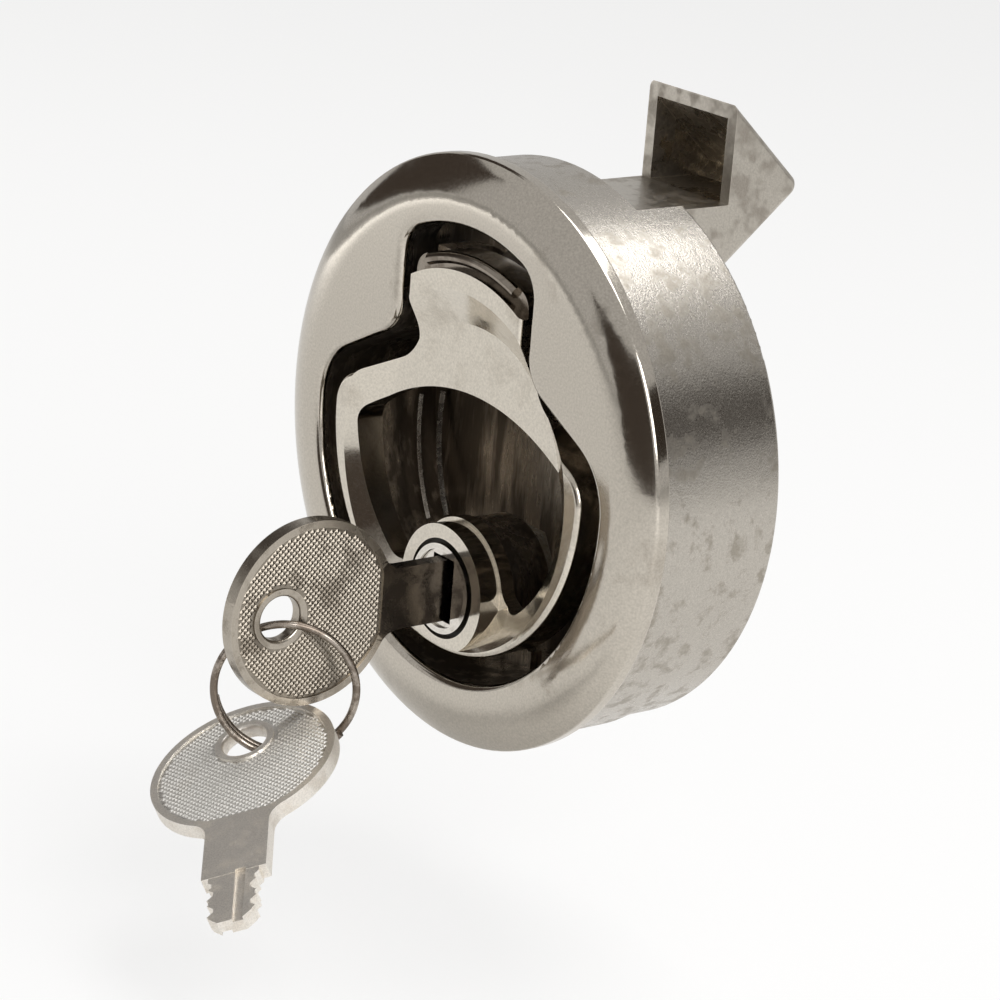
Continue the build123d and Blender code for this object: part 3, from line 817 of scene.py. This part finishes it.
@dataclass
class KnurledKey:
    """A flat key whose bow has a diamond knurl on both faces.

    Attributes:
        node: the CAD node of the key.
        body: the body that it rides on.
        hole: middle of the ring hole.
        along: direction of the blade.
        across: direction of its width.
        hole_to_bow: from the ring hole to the middle of the bow.
        bow_radius: outer radius of the bow.
        rim: width of the plain rim.
        hole_radius: radius of the ring hole.
        collar: width of the plain ring round the hole.
        field_length: from the bow's far edge to the straight end of the knurl.
        pitch: distance between the knurl's points.
        floor: half the key's thickness, less the recess that the knurl stands in.
        peak: height of the knurl's points.
        filled: share of its cell that a point covers.
        flat_cosine: least cosine between a flat face's normal and the key's.
        slack: room for faces that lie on the floor of the recess.
        shank_start: from the ring hole to where the bow ends and the shank begins.
        plain: finish of the bow's rim.
        knurled: finish of the knurl.
        shank: finish of the shank and blade.
    """

    paint: Paintshop
    node: str
    body: str
    hole: Point
    along: Point
    across: Point
    hole_to_bow: float = 4.8
    bow_radius: float = 12.1
    rim: float = 0.95
    hole_radius: float = 2.9
    collar: float = 1.0
    field_length: float = 22.6
    pitch: float = 0.58
    floor: float = 0.78
    peak: float = 0.14
    filled: float = 0.98
    flat_cosine: float = 0.9
    slack: float = 0.06
    shank_start: float = 15.4
    plain: MetalFinish = KEY_NICKEL
    knurled: MetalFinish = KNURL_NICKEL
    shank: MetalFinish = KEY_NICKEL

    def axes(self) -> np.ndarray:
        """Unit vectors along, across and out of the key, one to a row."""
        along = np.array(self.along) / np.linalg.norm(self.along)
        across = np.array(self.across) - along * (along @ np.array(self.across))
        across /= np.linalg.norm(across)
        return np.stack([along, across, np.cross(along, across)])

    def knurl(self, side: int) -> tuple[np.ndarray, np.ndarray]:
        """Low four-sided points on a diamond grid, for one face of the bow.

        Point (i, j) of the grid stands at ((i + j), (i - j)) times half the pitch times the
        root of two. A point is kept where it lies inside the rim, outside the collar and
        short of the straight end. Each has its four corners half a cell away on the floor
        and its tip above its middle.

        Args:
            side: 1 for the face that the third axis points out of, -1 for the other.

        Returns:
            Points in metres and faces.
        """
        step = self.pitch / math.sqrt(2)
        count = int(2 * self.bow_radius / step) + 2
        i, j = np.meshgrid(np.arange(-count, count + 1), np.arange(-count, count + 1), indexing="ij")
        u = (i + j).ravel() * step
        v = (i - j).ravel() * step
        near_bow = np.hypot(u - self.hole_to_bow, v) < self.bow_radius - self.rim - 0.6 * self.pitch
        off_hole = np.hypot(u, v) > self.hole_radius + self.collar + 0.5 * self.pitch
        short = u < self.hole_to_bow - self.bow_radius + self.field_length - 0.5 * self.pitch
        kept = near_bow & off_hole & short
        u, v = u[kept], v[kept]
        reach = step * self.filled
        du = np.array([reach, 0.0, -reach, 0.0, 0.0])
        dv = np.array([0.0, reach, 0.0, -reach, 0.0])
        dw = np.array([0.0, 0.0, 0.0, 0.0, self.peak])
        local = np.stack([(u[:, None] + du).ravel(), (v[:, None] + dv).ravel(),
                          side * (np.broadcast_to(dw, (len(u), 5)).ravel() + self.floor)], axis=1)
        points = (np.array(self.hole) + local @ self.axes()) * MM
        first = 5 * np.arange(len(u))[:, None]
        corner = np.array([[0, 1, 4], [1, 2, 4], [2, 3, 4], [3, 0, 4]])
        if side < 0:
            corner = corner[:, ::-1]
        faces = (first[:, :, None] + corner[None]).reshape(-1, 3)
        return points, faces

    def build(self) -> int:
        """Dresses the key and stands a knurl on each face of its bow.

        Returns:
            How many pieces were made.
        """
        key = dressed_copy(self.node, self.body)
        faces = FaceMap(key.data)
        along, _, out = self.axes()
        from_hole = faces.middles() - np.array(self.hole)
        facing = np.abs(faces.normals() @ out) > self.flat_cosine
        sunk = facing & (np.abs(from_hole @ out) < self.floor + self.slack)
        index = np.where(from_hole @ along > self.shank_start, 1, np.where(sunk, 2, 0))
        share_out(key, [self.paint.metal(finish) for finish in (self.plain, self.shank, self.knurled)], index)
        for side, label in ((1, "near"), (-1, "far")):
            points, tips = self.knurl(side)
            new_piece(f"{self.node}_knurl_{label}", points, tips, self.body,
                      self.paint.metal(self.knurled))
        return 3


@dataclass
class SplitRing:
    """Split ring of dark wire.

    Attributes:
        node: its CAD node.
    """

    paint: Paintshop
    node: str = "split_ring"

    def build(self) -> int:
        """Dresses the ring.

        Returns:
            How many pieces were made.
        """
        ring = dressed_copy(self.node, "ring", 60.0)
        ring.data.materials.append(self.paint.metal(RING_WIRE))
        return 1


@dataclass
class Card:
    """A flat card that only reflections see, as stands beside a polished thing in a studio.

    Attributes:
        name: object name.
        direction: from the latch to the card.
        distance: millimetres to the card.
        width: millimetres across.
        height: millimetres high.
        colour: its colour.
    """

    name: str
    direction: Point
    distance: float
    width: float
    height: float
    colour: Colour


@dataclass
class Studio:
    """Floor, lamps, cards and world.

    Attributes:
        floor_z: height of the floor.
        floor_size: millimetres along each side of the floor.
        floor_white: share of plain white in what the camera sees of the floor.
        soft_light: strength of the world's even light.
        mirrored_light: strength of the world as polished metal shows it.
        centre: middle of the object.
        cards: what polished surfaces see.
    """

    floor_z: float = -62.0
    floor_size: float = 3000.0
    floor_white: float = 0.72
    soft_light: float = 0.42
    mirrored_light: float = 0.60
    centre: Point = (0.0, 0.0, 0.0)
    cards: list[Card] = field(default_factory=lambda: [
        Card("dark_card_front", (0.12, -0.97, 0.10), 420, 300, 240, (0.07, 0.056, 0.046)),
        Card("dark_card_upper_left", (-0.70, 0.0, 0.71), 460, 330, 200, (0.06, 0.048, 0.04)),
        Card("dark_card_right", (0.79, 0.53, 0.30), 400, 300, 150, (0.05, 0.04, 0.032)),
        Card("dark_card_left", (-0.88, -0.33, 0.30), 400, 250, 210, (0.07, 0.056, 0.046)),
        Card("dark_card_below", (0.1, -0.3, -0.95), 420, 420, 300, (0.10, 0.075, 0.055)),
    ])

    def floor(self) -> None:
        """Lays a plain pale floor that the camera sees as white, and that keeps the shadow."""
        bpy.ops.mesh.primitive_plane_add(size=self.floor_size * MM, location=(0, 0, self.floor_z * MM))
        plane = bpy.context.object
        plane.name = "floor"
        material, bench = blank_material("pale_floor")
        paint = bench.node("ShaderNodeBsdfPrincipled", {"Base Color": (0.86, 0.855, 0.845, 1.0),
                                                        "Roughness": 0.9}).outputs[0]
        glow = bench.node("ShaderNodeEmission", {"Color": (1, 1, 1, 1), "Strength": 1.0}).outputs[0]
        path = bench.node("ShaderNodeLightPath")
        seen = bench.math("MAXIMUM", path.outputs["Is Camera Ray"], path.outputs["Is Transmission Ray"])
        share = bench.math("MULTIPLY", seen, self.floor_white)
        mix = bench.node("ShaderNodeMixShader", {0: share, 1: paint, 2: glow}).outputs[0]
        bench.node("ShaderNodeOutputMaterial", {"Surface": mix})
        plane.data.materials.append(material)

    def world(self) -> None:
        """Lights everything softly, and shows white to the camera and to reflections."""
        world = bpy.data.worlds.new("studio")
        bpy.context.scene.world = world
        world.use_nodes = True
        world.node_tree.nodes.clear()
        bench = NodeBench(world.node_tree)
        path = bench.node("ShaderNodeLightPath")
        seen = bench.math("MAXIMUM", path.outputs["Is Camera Ray"], path.outputs["Is Transmission Ray"])
        plain, white, glossy = (
            bench.node("ShaderNodeBackground", {"Color": rgba(colour), "Strength": strength}).outputs[0]
            for colour, strength in (((1.0, 0.985, 0.96), self.soft_light), ((1.0, 1.0, 1.0), 1.0),
                                     ((1.0, 0.985, 0.965), self.mirrored_light)))
        mix = bench.node("ShaderNodeMixShader", {0: path.outputs["Is Glossy Ray"], 1: plain,
                                                 2: glossy}).outputs[0]
        mix = bench.node("ShaderNodeMixShader", {0: seen, 1: mix, 2: white}).outputs[0]
        bench.node("ShaderNodeOutputWorld", {"Surface": mix})

    def lamp(self, name: str, direction: Point, distance: float, size: float, power: float,
             mirrored: bool = True) -> None:
        """Hangs a soft square lamp that faces the latch.

        Args:
            name: lamp name.
            direction: from the latch to the lamp.
            distance: millimetres to the lamp.
            size: millimetres across.
            power: watts.
            mirrored: whether polished metal shows it.
        """
        data = bpy.data.lights.new(name, "AREA")
        data.size = size * MM
        data.energy = power
        lamp = bpy.data.objects.new(name, data)
        out = Vector(direction).normalized()
        lamp.location = (Vector(self.centre) + out * distance) * MM
        lamp.rotation_euler = out.to_track_quat("Z", "Y").to_euler()
        lamp.visible_glossy = mirrored
        bpy.context.scene.collection.objects.link(lamp)

    def card(self, card: Card) -> None:
        """Stands up one card.

        Args:
            card: its place, size and colour.
        """
        out = Vector(card.direction).normalized()
        bpy.ops.mesh.primitive_plane_add(size=1.0, location=(Vector(self.centre) + out * card.distance) * MM)
        plane = bpy.context.object
        plane.name = card.name
        plane.rotation_euler = out.to_track_quat("Z", "Y").to_euler()
        plane.scale = (card.width * MM, card.height * MM, 1)
        for kind in ("camera", "diffuse", "shadow", "transmission", "volume_scatter"):
            setattr(plane, f"visible_{kind}", False)
        material, bench = blank_material(card.name)
        shader = bench.node("ShaderNodeEmission", {"Color": rgba(card.colour), "Strength": 1.0})
        bench.node("ShaderNodeOutputMaterial", {"Surface": shader.outputs[0]})
        plane.data.materials.append(material)

    def build(self) -> None:
        """Sets up everything round the latch but the camera."""
        self.floor()
        self.world()
        self.lamp("lamp_left", (-0.95, -0.45, 0.05), distance=700, size=420, power=2.6, mirrored=False)
        self.lamp("lamp_right", (0.95, -0.25, 0.5), distance=700, size=380, power=2.8)
        self.lamp("lamp_top", (0.1, 0.35, 1.0), distance=700, size=420, power=2.6)
        for card in self.cards:
            self.card(card)


@dataclass
class PhotoCamera:
    """Camera at the photograph's viewing angle.

    Attributes:
        place: the lens, in millimetres.
        right: direction of the picture's right.
        down: direction of the picture's bottom.
        forward: direction of view.
        lens: focal length in millimetres.
        sensor: width of the sensor in millimetres.
        reach: nearest and farthest thing that it sees, in metres.
    """

    place: Point = (337.957, -265.949, 130.568)
    right: Point = (0.6032, 0.7938, 0.0781)
    down: Point = (0.2868, -0.1246, -0.9498)
    forward: Point = (-0.7443, 0.5953, -0.3028)
    lens: float = 127.74
    sensor: float = 36.0
    reach: tuple[float, float] = (0.02, 20.0)

    def build(self) -> None:
        """Puts the camera in the scene."""
        data = bpy.data.cameras.new("camera")
        data.lens = self.lens
        data.sensor_width = self.sensor
        data.clip_start, data.clip_end = self.reach
        camera = bpy.data.objects.new("camera", data)
        turn = Matrix((self.right, [-v for v in self.down], [-v for v in self.forward])).transposed()
        camera.matrix_world = Matrix.Translation(Vector(self.place) * MM) @ turn.to_4x4()
        bpy.context.scene.collection.objects.link(camera)
        bpy.context.scene.camera = camera


def main() -> None:
    """Builds the latch piece by piece, then the studio and the camera."""
    logging.basicConfig(level=logging.INFO, format="%(name)s: %(message)s")
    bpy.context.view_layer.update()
    paint = Paintshop()
    # The key in the lock takes the painted-shade copies of the nickel; the spare key keeps the bright ones.
    in_lock = KnurledKey(paint, "key_in_lock", "key", (0.0, -29.25, -17.7), (0, 1, 0), (0, 0, 1),
                         plain=KEY_PAINTED_SHADE, knurled=KNURL_PAINTED_SHADE, shank=SHANK_PAINTED_SHADE)
    spare = KnurledKey(paint, "spare_key", "spare", (-1.986, -31.167, -35.247),
                       (0.7938, -0.5609, -0.2354), (0.6066, 0.7015, 0.3740), plain=KEY_WORN, shank=KEY_WORN)
    for part in (Housing(paint), PullHandle(paint), LatchBolt(paint), KeyLock(paint), in_lock, spare,
                 SplitRing(paint)):
        log.info("%s: %d pieces", type(part).__name__, part.build())
    Studio().build()
    PhotoCamera().build()
    bpy.context.scene.view_settings.view_transform = "Standard"


if __name__ == "__main__":
    main()
